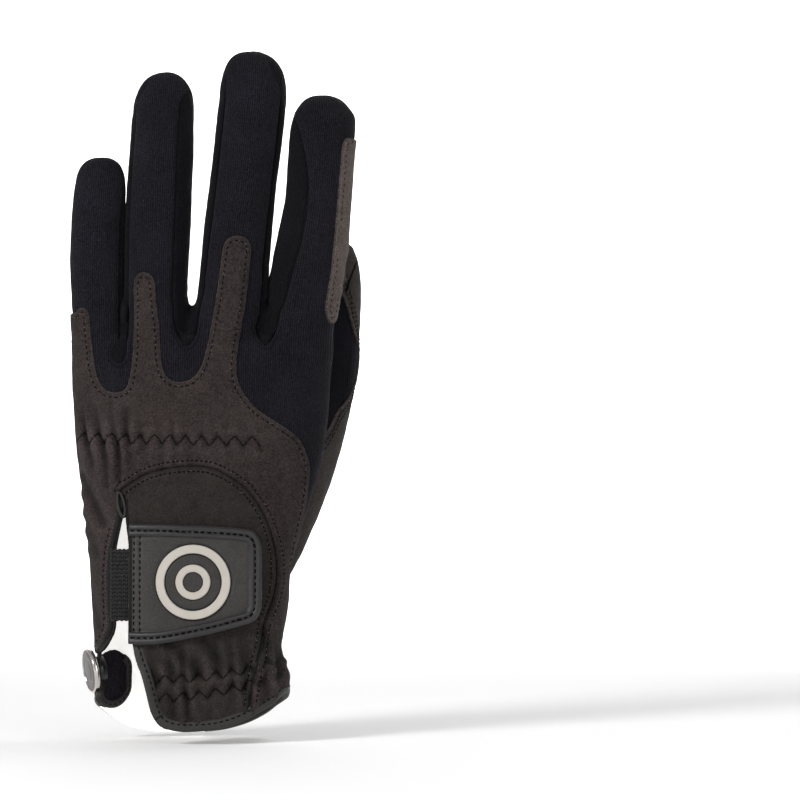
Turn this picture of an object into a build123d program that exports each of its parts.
from build123d import *
import os
from math import cos, sin, pi, tan, radians, hypot

os.makedirs("parts", exist_ok=True)

# ---------------------------------------------------------------- driving dimensions (mm)
# Frame: fingers point along +Z, the back of the hand faces -Y, the palm faces +Y,
# the thumb is on the +X side. The origin is the centre of the wrist opening, at the
# level of the lowest point of the cuff.
LEATHER_T = 1.1          # palm and finger leather, knit back, gusset
OVERLAY_T = 0.8          # suede reinforcement laid on the knit
BIND_OUT = 0.5           # how far a bound edge stands out of the panel
BIND_IN = 1.6            # how far it reaches inside (measured from the outer surface)
HEM_H = 3.0              # height of the bound hem at the wrist opening
ELASTIC_T = 0.8          # elastic tape inside the shell

SEAM_BACK_Y = -3.5       # where the finger backs meet the fourchettes
SEAM_PALM_Y = 2.2        # where the finger fronts meet the fourchettes
CROTCH_Z = 126.5         # lowest level of the fourchettes

SLEEVE_HALF = 10.0       # half height of the bend zone at each finger joint
THUMB_SLEEVE_HALF = 8.5

TAB_IN, TAB_OUT = 1.95, 3.15       # closure tab leather, measured out from the wrist surface
TAB_BIND_IN, TAB_BIND_OUT = 1.75, 3.55
HOOK_IN = 1.15
LOOP_OUT = 0.9
WEB_IN, WEB_OUT = 0.5, 1.4

DISC_R, DISC_T = 7.4, 1.9          # ball marker
POST_R, POST_L = 2.6, 1.6          # snap stud under it
SOCKET_R, SOCKET_T = 4.2, 0.8      # snap socket on the tongue

# hand body: z, left x, right x, depth of back, depth of palm
BODY = [
    (-4.0, -32.9, 32.0, 20.3, 20.8),
    (12.0, -32.9, 31.6, 20.0, 20.4),
    (28.0, -33.2, 29.6, 19.0, 19.2),
    (41.0, -33.6, 29.6, 18.0, 18.2),
    (54.5, -34.8, 31.0, 17.0, 17.8),
    (66.0, -36.3, 34.2, 16.2, 18.2),
    (79.0, -37.7, 38.2, 15.6, 18.8),
    (92.0, -38.8, 41.4, 15.1, 18.4),
    (105.0, -39.8, 43.2, 14.3, 16.6),
    (118.0, -40.8, 43.8, 12.7, 13.8),
    (126.0, -41.2, 44.8, 10.7, 11.4),
    (130.0, -41.4, 45.4, 9.4, 9.9),
]
WEB_Z = 130.0            # level of the web between the fingers, where the finger tubes start
BODY_N = 2.35            # fullness of the body section

# fingers: z, centre x, half width; half depth is DEPTH times the half width
DEPTH = 0.79
FINGERS = {
    "little": [(130, -32.8, 8.2), (141.6, -33.0, 8.5), (157, -33.1, 8.7), (168, -32.9, 8.75),
               (178.5, -32.2, 8.4), (184, -31.6, 7.7), (187.6, -31.2, 6.3), (189.8, -31.0, 4.4), (191, -30.9, 2.0)],
    "ring": [(130, -13.7, 10.0), (141.6, -13.5, 10.3), (157, -13.2, 10.6), (178.5, -12.4, 10.7),
             (189, -12.0, 10.7), (199.7, -11.4, 10.4), (207.6, -10.9, 10.1), (213, -10.6, 9.0), (216.4, -10.5, 6.9),
             (218.3, -10.4, 4.6), (219.3, -10.4, 2.0)],
    "middle": [(130, 10.2, 11.0), (142, 11.0, 11.3), (157, 12.4, 11.3), (173.3, 14.3, 11.1),
               (194.4, 16.6, 11.0), (205, 17.6, 11.0), (213, 18.3, 10.8), (218.4, 18.3, 9.8), (222.4, 18.1, 7.8),
               (224.9, 17.8, 5.2), (226, 17.4, 2.4)],
    "index": [(130, 33.9, 10.9), (139, 34.6, 11.3), (149.5, 35.9, 11.7), (157, 36.9, 11.8),
              (168, 38.3, 11.2), (178.5, 39.6, 10.7), (189, 40.4, 10.7), (199.7, 41.2, 10.5), (204.6, 41.6, 9.9),
              (208.2, 41.7, 8.1), (210.4, 41.6, 5.6), (211.5, 41.5, 2.6)],
}
JOINT_Z = {"little": 157.0, "ring": 166.0, "middle": 177.0, "index": 168.0}
FINGER_N = 2.2
BODY_SIDES = 28          # facets round the hand body
FINGER_SIDES = 16        # facets round a finger

# thumb: centre x, y, z, half width, half depth; the sections are square to the path
THUMB = [
    (15.0, 3.0, 50.0, 12.0, 8.5),
    (21.5, 10.0, 66.0, 14.0, 10.8),
    (28.0, 18.5, 84.0, 15.2, 12.2),
    (34.0, 26.5, 102.0, 14.8, 12.3),
    (38.6, 33.0, 120.0, 13.9, 11.7),
    (41.0, 36.8, 137.0, 12.7, 10.8),
    (43.2, 38.6, 150.0, 11.0, 9.6),
    (45.6, 39.4, 158.5, 8.6, 7.9),
    (48.0, 39.9, 164.0, 5.4, 5.4),
    (49.6, 40.2, 167.0, 2.2, 2.6),
]
THUMB_JOINT = (40.6, 36.2, 134.5)
THUMB_DIR = (0.135, 0.195, 0.971)

# lower edge of the cuff
HEM_EDGE = [(-40, 16.0), (-33, 10.0), (-29, 6.2), (-22, 2.0), (-12, 0.2), (-3, 0.0), (6, 0.6), (14, 2.6), (21, 6.0),
            (27, 10.6), (33, 15.5), (40, 21.0)]

# slit at the back of the wrist: (z, x)
SLIT_LEFT = [(78.4, -27.0), (71.6, -28.2), (58.4, -29.4), (45.2, -29.4), (36.0, -28.6), (31.0, -30.2), (27.5, -33.5)]
SLIT_RIGHT = [(78.4, -26.2), (68.3, -24.4), (50.0, -23.2), (31.0, -21.9), (22.0, -19.0), (12.0, -15.2), (-3.0, -10.5)]
SLIT_BIND_L, SLIT_BIND_R = 1.8, 3.0

# seams seen from the back (x, z)
ARCH = [(-26.0, 80.6), (-15.8, 87.1), (-5.3, 89.4), (5.3, 89.0), (13.9, 84.6), (18.2, 80.5), (21.5, 75.6), (24.1, 70.0),
        (25.7, 64.0), (26.4, 58.7), (26.4, 52.1), (25.4, 46.5), (24.4, 43.6), (22.4, 38.3), (21.5, 31.4), (20.1, 24.8),
        (18.8, 18.5), (17.8, 11.0), (16.5, -3.0)]
OVERLAY = [(-44, 140.0), (-41.6, 138.5), (-40.8, 141.0), (-38.8, 141.8), (-36.9, 141.0), (-35.8, 138.0), (-35.2, 128.0), (-33.2, 119.5),
           (-29.0, 115.0), (-25.8, 113.4), (-23.6, 116.5), (-22.4, 124.0), (-21.8, 138.0), (-21.2, 149.5), (-19.8, 152.6), (-17.8, 153.5),
           (-15.6, 152.0), (-14.3, 148.6), (-13.6, 140.0), (-12.4, 128.0), (-9.6, 120.5), (-6.6, 117.5), (-3.6, 118.6),
           (-1.2, 124.5), (1.6, 133.0), (4.6, 143.0), (7.2, 153.0), (9.3, 160.4), (11.2, 164.0), (13.2, 165.0),
           (15.4, 164.0), (16.9, 160.4), (16.0, 146.0), (13.8, 132.6), (12.4, 121.1), (13.8, 114.2), (16.2, 111.0), (20.8, 107.2),
           (28.6, 102.0), (33.3, 98.2), (35.3, 94.4), (36.6, 90.2), (36.6, 85.9), (35.7, 77.5), (34.0, 70.0), (32.0, 61.5),
           (31.0, 56.8)]

# seams seen from the palm (x, z)
WAVE = [(52.0, 152.0), (43.9, 148.2), (40.3, 146.5), (34.8, 141.9), (28.9, 137.6), (22.5, 134.6), (17.2, 134.0), (11.9, 134.6),
        (7.3, 136.3), (3.0, 136.3), (-2.3, 135.0), (-7.3, 132.3), (-11.6, 130.0), (-15.5, 128.0), (-22.1, 127.4),
        (-28.4, 127.7), (-34.7, 128.7), (-39.3, 129.4), (-48.0, 130.6)]
PALM_EDGE = [(50.0, 140.5), (36.0, 136.0), (31.4, 133.0), (26.6, 128.7), (21.8, 123.4), (16.9, 118.1), (11.9, 111.5), (7.0, 104.0), (2.6, 94.4),
             (-0.3, 86.1), (-2.0, 79.2), (-3.0, 71.6), (-2.3, 63.0), (0.0, 54.1), (1.7, 50.5), (6.3, 43.6), (10.0, 39.6),
             (14.4, 36.6), (18.7, 35.3), (23.0, 35.6), (27.0, 37.6), (34.0, 42.0), (45.0, 48.0)]
HEEL_EDGE = [(45.0, 121.0), (33.0, 120.0), (26.0, 119.4), (20.5, 117.8), (15.4, 109.6), (12.1, 99.7), (8.8, 94.0), (7.3, 88.4), (6.3, 80.9), (6.5, 71.6),
             (8.8, 61.7), (11.9, 52.1), (15.4, 46.5), (19.2, 43.2), (22.5, 41.6), (25.8, 42.2), (29.4, 44.2), (38.0, 50.0),
             (45.0, 55.0)]

# ---------------------------------------------------------------- helpers
def sgn(v):
    return 1.0 if v >= 0 else -1.0

def ring(c, xd, yd, xl, xr, back, front, n, count):
    """Points of one full-bodied oval section about c, in the plane of xd and yd."""
    cx, hx = (xl + xr) / 2, (xr - xl) / 2
    pts = []
    for k in range(count):
        a = 2 * pi * (k + 0.5) / count
        co, si = cos(a), sin(a)
        x = cx + hx * sgn(co) * abs(co) ** (2 / n)
        y = (front if si > 0 else back) * sgn(si) * abs(si) ** (2 / n)
        pts.append(c + xd * x + yd * y)
    return pts

XD, YD = Vector(1, 0, 0), Vector(0, 1, 0)

def skin(rings):
    """Closed solid through stacked sections, in flat triangular facets."""
    faces = []
    m = len(rings[0])
    for a, b in zip(rings, rings[1:]):
        for k in range(m):
            j = (k + 1) % m
            faces.append(Face(Wire.make_polygon([a[k], a[j], b[j]], close=True)))
            faces.append(Face(Wire.make_polygon([a[k], b[j], b[k]], close=True)))
    faces.append(Face(Wire.make_polygon(list(reversed(rings[0])), close=True)))
    faces.append(Face(Wire.make_polygon(rings[-1], close=True)))
    return Solid(Shell(faces))

def body(d):
    """Hand body, with its surface moved out by d."""
    return skin([ring(Vector(0, 0, z), XD, YD, xl - d, xr + d, b + d, f + d, BODY_N, BODY_SIDES)
                 for z, xl, xr, b, f in BODY])

def finger(name, d):
    rows = FINGERS[name]
    rings = []
    top = rows[-1][0]
    for z, x, w in rows:
        near = max(0.0, 1 - (top - z) / 12.0)
        k = d * (1 - 0.35 * near)
        ww, hh = max(w + k, 0.8), max(w * DEPTH + k, 0.7)
        rings.append(ring(Vector(x, 0, z + d * near), XD, YD, -ww, ww, hh, hh, FINGER_N, FINGER_SIDES))
    return skin(rings)

def thumb(d):
    rings = []
    m = len(THUMB)
    for i, (x, y, z, w, h) in enumerate(THUMB):
        a, b = THUMB[max(i - 1, 0)], THUMB[min(i + 1, m - 1)]
        t = Vector(b[0] - a[0], b[1] - a[1], b[2] - a[2]).normalized()
        near = max(0.0, 1 - (THUMB[-1][2] - z) / 14.0)
        c = Vector(x, y, z) + t * (d * near)
        k = d * (1 - 0.35 * near)
        xd = Vector(1, 0, -t.X / t.Z).normalized()
        yd = t.cross(xd).normalized()
        ww, hh = max(w + k, 0.8), max(h + k, 0.8)
        rings.append(ring(c, xd, yd, -ww, ww, hh, hh, 2.15, FINGER_SIDES))
    return skin(rings)

def prism(pts, y0, y1, smooth=False):
    """Closed outline in the XZ plane, run from y0 to y1."""
    wire = Polyline(*[(x, z) for x, z in pts], close=True)
    f = Plane(origin=(0, y1, 0), x_dir=(1, 0, 0), z_dir=(0, -1, 0)) * make_face(wire)
    return extrude(f, amount=(y1 - y0), dir=(0, -1, 0))

def block(x0, x1, y0, y1, z0, z1):
    return Pos((x0 + x1) / 2, (y0 + y1) / 2, (z0 + z1) / 2) * Box(x1 - x0, y1 - y0, z1 - z0)

def solids_of(shape, min_vol=0.5):
    out = []
    items = shape if isinstance(shape, (list, ShapeList)) else [shape]
    for it in items:
        if it is None:
            continue
        for s in it.solids():
            if s.volume > min_vol:
                out.append(s)
    return out

NODES = {}

def put(name, shape, min_vol=0.5):
    s = solids_of(shape, min_vol)
    if not s:
        print("EMPTY", name)
        return
    comp = s[0] if len(s) == 1 else Compound(children=s)
    NODES[name] = comp
    export_step(comp, "parts/%s.step" % name)

BIG = 80.0
_cache = {}
def B(d):
    if d not in _cache:
        _cache[d] = body(d)
    return _cache[d]

def layer(d0, d1, region):
    """Sheet on the hand body between two offsets, cut to a region."""
    return (B(d1) & region) - B(d0)

def hem_line(dz, x_from=-40.0, x_to=40.0):
    pts = [(x, z + dz) for x, z in HEM_EDGE]
    out = []
    def zat(x):
        for (xa, za), (xb, zb) in zip(pts, pts[1:]):
            if xa <= x <= xb:
                return za + (zb - za) * (x - xa) / (xb - xa)
        return pts[-1][1] if x > pts[-1][0] else pts[0][1]
    out.append((x_from, zat(x_from)))
    out += [p for p in pts if x_from < p[0] < x_to]
    out.append((x_to, zat(x_to)))
    return out

def band(lo, hi, x0=-40.0, x1=40.0, y0=-BIG, y1=BIG):
    """Between two copies of the hem curve."""
    a, b = hem_line(lo, x0, x1), hem_line(hi, x0, x1)
    return prism(a + b[::-1], y0, y1)

def at(table, z):
    rows = sorted(table)
    for (za, xa), (zb, xb) in zip(rows, rows[1:]):
        if za <= z <= zb:
            return xa + (xb - xa) * (z - za) / (zb - za)
    return rows[0][1] if z < rows[0][0] else rows[-1][1]

def finger_x(name, z):
    rows = FINGERS[name]
    for (za, xa, wa), (zb, xb, wb) in zip(rows, rows[1:]):
        if za <= z <= zb:
            return xa + (xb - xa) * (z - za) / (zb - za)
    return rows[-1][1]

# ---------------------------------------------------------------- finger ends and bend sleeves
NAMES = ["little", "ring", "middle", "index"]
f_out, f_in = {}, {}
for n in NAMES:
    f_out[n] = finger(n, 0.0)
    f_in[n] = finger(n, -LEATHER_T)

for n in NAMES:
    zj = JOINT_Z[n]
    z1, z2 = zj - SLEEVE_HALF, zj + SLEEVE_HALF
    top = FINGERS[n][-1][0]
    xj = finger_x(n, zj)
    tube = f_out[n] - f_in[n]
    cell = lambda a, b, y0=-30, y1=30, x0=-60, x1=70: tube & block(x0, x1, y0, y1, a, b)
    put(n + "_bend_sleeve", cell(z1, z2))
    cap = top - 6.0
    tipc = [(z2, finger_x(n, z2)), (cap, finger_x(n, cap))]
    # inner sides, towards the neighbouring fingers, are fourchette; the outer sides are not
    left_side = n != "little"
    right_side = n != "index"
    xa = -60 if left_side else None
    if left_side and right_side:
        outline = [(-60, z2), (70, z2), (70, cap), (-60, cap)]
    elif left_side:
        outline = [(-60, z2), (tipc[0][1], z2), (tipc[1][1], cap), (-60, cap)]
    else:
        outline = [(tipc[0][1], z2), (70, z2), (70, cap), (tipc[1][1], cap)]
    side = prism(outline, SEAM_BACK_Y, SEAM_PALM_Y)
    end = tube & block(-60, 70, -30, 30, z2, 240)
    front = end & block(-60, 70, 0, 30, z2, 240)
    rear = end & block(-60, 70, -30, 0, z2, 240)
    put(n + "_end_palm", front - side)
    put(n + "_end_back", rear - side)
    put(n + "_end_fourchettes", end & side)

# ---------------------------------------------------------------- hand shell
outer = B(0.0)
inner = B(-LEATHER_T) & block(-60, 70, -40, 40, -20, WEB_Z - LEATHER_T)
hand = outer - inner
f_low = {}
for n in NAMES:
    z, x, w = FINGERS[n][0]
    wi = w - LEATHER_T
    di = w * DEPTH - LEATHER_T
    hole = skin([ring(Vector(x, 0, zz), XD, YD, -wi, wi, di, di, FINGER_N, FINGER_SIDES) for zz in (WEB_Z - 4.0, WEB_Z + 4.0)])
    hand = hand - hole
    f_low[n] = (f_out[n] - f_in[n]) & block(-60, 70, -30, 30, 100, JOINT_Z[n] - SLEEVE_HALF)
for n in NAMES:
    hand = hand + f_low[n]
t_out, t_in = thumb(0.0), thumb(-LEATHER_T)
hand = hand - t_in
hand = hand - band(-40, HEM_H)
thumb_shell = (t_out - t_in) - outer

# slit
slit_poly = [(x, z) for z, x in SLIT_LEFT] + [(x, z) for z, x in reversed(SLIT_RIGHT)]
lower_left = [(-33.5, 27.5), (-45, 26.0), (-45, -10), (-10.5, -10)]
cut_poly = [(x, z) for z, x in SLIT_LEFT] + [(-45, 27.5), (-45, -10), (-10.0, -10)] + [(x, z) for z, x in reversed(SLIT_RIGHT)]
slit_cut = prism(cut_poly, -BIG, -6.0)
hand = hand - slit_cut

# bound edges of the slit
def edge_strip(table, side, width, z0, z1, step=6.0):
    zs = [z1]
    rows = [z for z, x in table if z0 < z < z1]
    zs = [z1] + sorted(rows, reverse=True) + [z0]
    a = [(at(table, z), z) for z in zs]
    b = [(x + side * width, z) for x, z in a]
    return a + b[::-1]

left_strip = prism(edge_strip(SLIT_LEFT, -1, SLIT_BIND_L, 31.0, 78.0), -BIG, -6.0)
right_strip = prism(edge_strip(SLIT_RIGHT, 1, SLIT_BIND_R, -2.0, 78.0), -BIG, -6.0)
above_hem = band(HEM_H, 200)
put("slit_binding_ulnar", layer(-BIND_IN, BIND_OUT, left_strip))
put("slit_binding_tab_side", layer(-BIND_IN, BIND_OUT, right_strip & above_hem))
hand = hand - left_strip - right_strip

# ---------------------------------------------------------------- splitting the shell into its sewn panels
xl_ = lambda z: finger_x("little", z)
xi_ = lambda z: finger_x("index", z)
fz = [CROTCH_Z, 140, 150, 160, 168]
four_region = prism([(xl_(z), z) for z in fz] + [(xi_(z), z) for z in reversed(fz)], SEAM_BACK_Y, SEAM_PALM_Y)
four = hand & four_region
back_half = (hand & block(-60, 70, -40, 0, -10, 240)) - four_region
palm_half = (hand & block(-60, 70, 0, 40, -10, 240)) - four_region

def between(a, b, z0=CROTCH_Z, z1=168):
    zs = [z0, 140, 150, 160, z1]
    return prism([(finger_x(a, z), z) for z in zs] + [(finger_x(b, z), z) for z in reversed(zs)], -20, 20)

put("fourchette_little_ring", four & between("little", "ring"))
put("fourchette_ring_middle", four & between("ring", "middle"))
put("fourchette_middle_index", four & between("middle", "index"))

# back: arched wrist panel, ulnar flap, knit
arch_pts = ARCH + [(-9.0, -10.0)] + [(x, z) for z, x in sorted(SLIT_RIGHT)]
arch_prism = prism(arch_pts, -BIG, 0)
ulnar_poly = [(-60, 80.6), (-26.6, 80.6), (-26.6, 78.4)] + [(x, z) for z, x in SLIT_LEFT] + [(-60, 27.5)]
ulnar_prism = prism(ulnar_poly, -BIG, 0)
put("arched_wrist_panel", back_half & arch_prism)
put("ulnar_flap", (back_half & ulnar_prism) - arch_prism)
tongue_region = block(-60, -22.0, -6.0, 40, -10, 27.5)
rest_back = back_half - arch_prism - ulnar_prism
put("back_panel", rest_back - tongue_region)

# palm: finger fronts above the wave seam, palm below it, gusset and heel of the thumb
wave_up = prism(WAVE + [(-60, 240), (60, 240)], 0, BIG)
gus_poly = PALM_EDGE + [(60, 48), (60, 140.5)]
heel_poly = HEEL_EDGE + [(60, 55), (60, 121)]
gus = prism(gus_poly, 0, BIG)
heel = prism(heel_poly, 0, BIG)
put("palm_finger_panel", (palm_half & wave_up) - gus)
lower_palm = palm_half - wave_up
put("palm_panel", lower_palm - gus - tongue_region)
gusset_part = (palm_half & gus) - heel
heel_part = palm_half & heel

# tongue at the ulnar end of the cuff
tongue = hand & tongue_region
put("marker_tongue", tongue)
put("marker_tongue_binding", layer(-BIND_IN, BIND_OUT, band(0, HEM_H, -40, -22.0, -6.0, BIG)))

# thumb
td = Vector(*THUMB_DIR).normalized()
tj = Vector(*THUMB_JOINT)
def slab(lo, hi):
    pl = Plane(origin=tj + td * lo, x_dir=(1, 0, -td.X / td.Z), z_dir=td)
    return extrude(pl * Rectangle(140, 140), amount=hi - lo)
t_low = thumb_shell & slab(-140, -THUMB_SLEEVE_HALF)
put("thumb_bend_sleeve", thumb_shell & slab(-THUMB_SLEEVE_HALF, THUMB_SLEEVE_HALF))
put("thumb_end", thumb_shell & slab(THUMB_SLEEVE_HALF, 90))
knit_poly = [(28.0, 150.0), (28.0, 112.0), (31.0, 102.0), (40.0, 99.0), (44.0, 104.0), (48.5, 110.0), (56.0, 122.0), (51.5, 134.0), (46.5, 146.0)]
# the knit side of the thumb faces the back of the hand
def behind(off):
    nrm = Vector(0, -td.Z, td.Y).normalized()
    pl = Plane(origin=tj + nrm * off, x_dir=(1, 0, 0), z_dir=nrm)
    return extrude(pl * Rectangle(200, 260), amount=60)
knit_reg = prism(knit_poly, -BIG, BIG) & behind(2.0)
t_knit = t_low & knit_reg
t_leather = t_low - knit_reg
put("thumb_panel", [*solids_of(t_leather), *solids_of(heel_part)])
put("thumb_gusset", [*solids_of(t_knit), *solids_of(gusset_part)])

# ---------------------------------------------------------------- hem, elastics
hem_reg = (band(0, HEM_H, -9.0, 40, -BIG, 0) + band(0, HEM_H, -22.0, 40, 0, BIG))
put("cuff_hem_binding", layer(-BIND_IN, BIND_OUT, hem_reg))
put("knuckle_elastic", layer(-LEATHER_T - ELASTIC_T, -LEATHER_T, prism([(-36, 94.5), (18.5, 92.5), (18.5, 99.0), (-36, 102.0)], -BIG, -5)))
put("wrist_elastic_back", layer(-LEATHER_T - ELASTIC_T, -LEATHER_T, prism([(-11.5, 11.0), (27.0, 16.0), (27.0, 26.0), (-14.5, 22.5)], -BIG, -3)))
put("wrist_elastic_palm", layer(-LEATHER_T - ELASTIC_T, -LEATHER_T, prism([(-21.0, 13.5), (27.0, 14.5), (27.0, 26.0), (-21.0, 25.5)], 3, BIG)))

# ---------------------------------------------------------------- suede overlay and side strip
ov_poly = OVERLAY + [(29.6, 50.0), (27.2, 50.0)] + [p for p in reversed(ARCH) if p[1] >= 52] + [(-46, 80.6)]
ov_reg = prism(ov_poly, -BIG, -0.4)
overlay = solids_of(layer(0.0, OVERLAY_T, ov_reg))
for n in ("little", "ring", "middle"):
    overlay += solids_of(((finger(n, OVERLAY_T) - f_out[n]) & ov_reg) & block(-60, 70, -30, 30, WEB_Z, JOINT_Z[n] - SLEEVE_HALF))
put("suede_overlay", overlay)

def strip_on_index(z0, z1, d0, d1):
    a = [(z0, -1), (z1, -1)]
    rows = []
    zs = [z0 + (z1 - z0) * k / 6 for k in range(7)]
    left = []
    for z in zs:
        f = (z - 136.0) / (198.0 - 136.0)
        w = 8.4 if f > 0.35 else 8.4 - (0.35 - f) * 8.0
        wid = next_half(z)
        left.append((finger_x("index", z) + wid - (4.6 if f > 0.2 else 4.6), z))
    return left

def next_half(z):
    rows = FINGERS["index"]
    for (za, xa, wa), (zb, xb, wb) in zip(rows, rows[1:]):
        if za <= z <= zb:
            return wa + (wb - wa) * (z - za) / (zb - za)
    return rows[-1][2]

idx_skin = finger("index", OVERLAY_T) - f_out["index"]
def strip(z0, z1):
    l = strip_on_index(z0, z1, 0, 0)
    return idx_skin & prism(l + [(60, z1), (60, z0)], -BIG, 1.0)
put("index_side_strip", strip(136.5, JOINT_Z["index"] - SLEEVE_HALF))
put("index_end_side_strip", strip(JOINT_Z["index"] + SLEEVE_HALF, 198.5))
tip_poly = [(30.0, 181.5), (33.5, 184.0), (50.5, 196.0), (56, 199.0), (56, 214.5), (28, 214.5), (28, 181.5)]
put("index_end_fingertip_patch", (finger("index", 0.6) - f_out["index"]) & prism(tip_poly, 2.6, BIG))

# ---------------------------------------------------------------- closure
def rounded(x0, x1, z0, z1, r_right, slope=0.0):
    pts = [(x0, z0)]
    cx, cz = x1 - r_right, z0 + r_right
    for k in range(7):
        a = -pi / 2 + k * pi / 12
        pts.append((cx + r_right * cos(a), cz + r_right * sin(a)))
    cz = z1 - r_right
    for k in range(7):
        a = k * pi / 12
        pts.append((cx + r_right * cos(a), cz + r_right * sin(a)))
    pts.append((x0, z1))
    out = []
    for x, z in pts:
        f = (x - x0) / (x1 - x0)
        low_part = 1 - (z - z0) / (z1 - z0)
        out.append((x, z + slope * f * low_part))
    return out

TAB_X0, TAB_X1, TAB_Z0, TAB_Z1 = -21.2, 21.4, 32.0, 70.4
edge = rounded(TAB_X0, TAB_X1, TAB_Z0, TAB_Z1, 4.2, 5.4)
core = rounded(TAB_X0, TAB_X1 - 4.0, TAB_Z0 + 4.0, TAB_Z1 - 4.0, 2.4, 5.0)
core_p = prism(core, -BIG, -4)
edge_p = prism(edge, -BIG, -4)
put("closure_tab_face", layer(TAB_IN, TAB_OUT, core_p))
put("closure_tab_binding", layer(TAB_BIND_IN, TAB_BIND_OUT, edge_p - core_p))
put("closure_tab_hook_patch", layer(HOOK_IN, TAB_IN, prism(rounded(-2.0, 16.2, 38.6, 64.6, 2.0, 2.4), -BIG, -4)))
put("loop_patch", layer(0.0, LOOP_OUT, prism(rounded(-9.0, 20.6, 36.4, 68.4, 3.0, 3.0), -BIG, -4)))
put("closure_webbing", layer(WEB_IN, WEB_OUT, prism([(-28.9, 39.3), (-22.0, 38.6), (-22.0, 62.4), (-28.9, 62.2)], -BIG, -4)))
ex, ez = -0.4, 51.9
em_pl = Plane(origin=(ex, -10, ez), x_dir=(1, 0, 0), z_dir=(0, -1, 0))
em_ring = extrude(em_pl * (Circle(12.2) - Circle(10.6)), amount=30)
em_disc = extrude(em_pl * Circle(6.0), amount=30)
put("tab_emblem_ring", layer(TAB_OUT, TAB_OUT + 0.4, em_ring))

# ---------------------------------------------------------------- cuff label
lab = [(-9.6, 4.8), (3.0, 4.8), (3.0, 15.6), (2.2, 17.2), (0.6, 17.8), (-7.2, 17.8), (-8.8, 17.2), (-9.6, 15.6)]
put("cuff_label", layer(0.0, 0.8, prism(lab, 4, BIG) & band(HEM_H + 0.1, 60)))
bd_pl = Plane(origin=(-3.4, 12, 11.2), x_dir=(-1, 0, 0), z_dir=(0, 1, 0))
put("cuff_label_badge", layer(0.8, 1.2, extrude(bd_pl * Circle(3.6), amount=20)), 0.1)

# ---------------------------------------------------------------- snap and ball marker
nrm = Vector(-0.93, -0.33, -0.16).normalized()
seat = Vector(-32.95, -1.2, 21.6)
mk_pl = Plane(origin=seat + nrm * 0.95, x_dir=(0, 0, 1), z_dir=nrm)
socket = extrude(mk_pl * Circle(SOCKET_R), amount=SOCKET_T)
backer = extrude(Plane(origin=seat + nrm * 0.95, x_dir=(0, 0, 1), z_dir=nrm) * Circle(SOCKET_R), amount=-3.0)
socket = (socket + backer) - B(0.0)
bore = extrude(mk_pl.offset(-0.2) * Circle(POST_R + 0.15), amount=2.0)
put("snap_socket", [s for s in solids_of(socket - bore)])
stud = extrude(mk_pl * Circle(POST_R), amount=SOCKET_T + 0.5)
stud = stud + extrude(mk_pl.offset(SOCKET_T + 0.25) * Circle(POST_R + 1.2), amount=0.45)
put("ball_marker_stud", stud)
disc = extrude(mk_pl.offset(SOCKET_T + 0.7) * Circle(DISC_R), amount=DISC_T)
disc = chamfer(disc.edges().filter_by(GeomType.CIRCLE), 0.3)
put("ball_marker", disc)

print(len(NODES), "nodes")
for k, v in NODES.items():
    bb = v.bounding_box()
    print("%-28s n=%d vol=%8.1f  x %.1f..%.1f y %.1f..%.1f z %.1f..%.1f" % (
        k, len(v.solids()), v.volume, bb.min.X, bb.max.X, bb.min.Y, bb.max.Y, bb.min.Z, bb.max.Z))
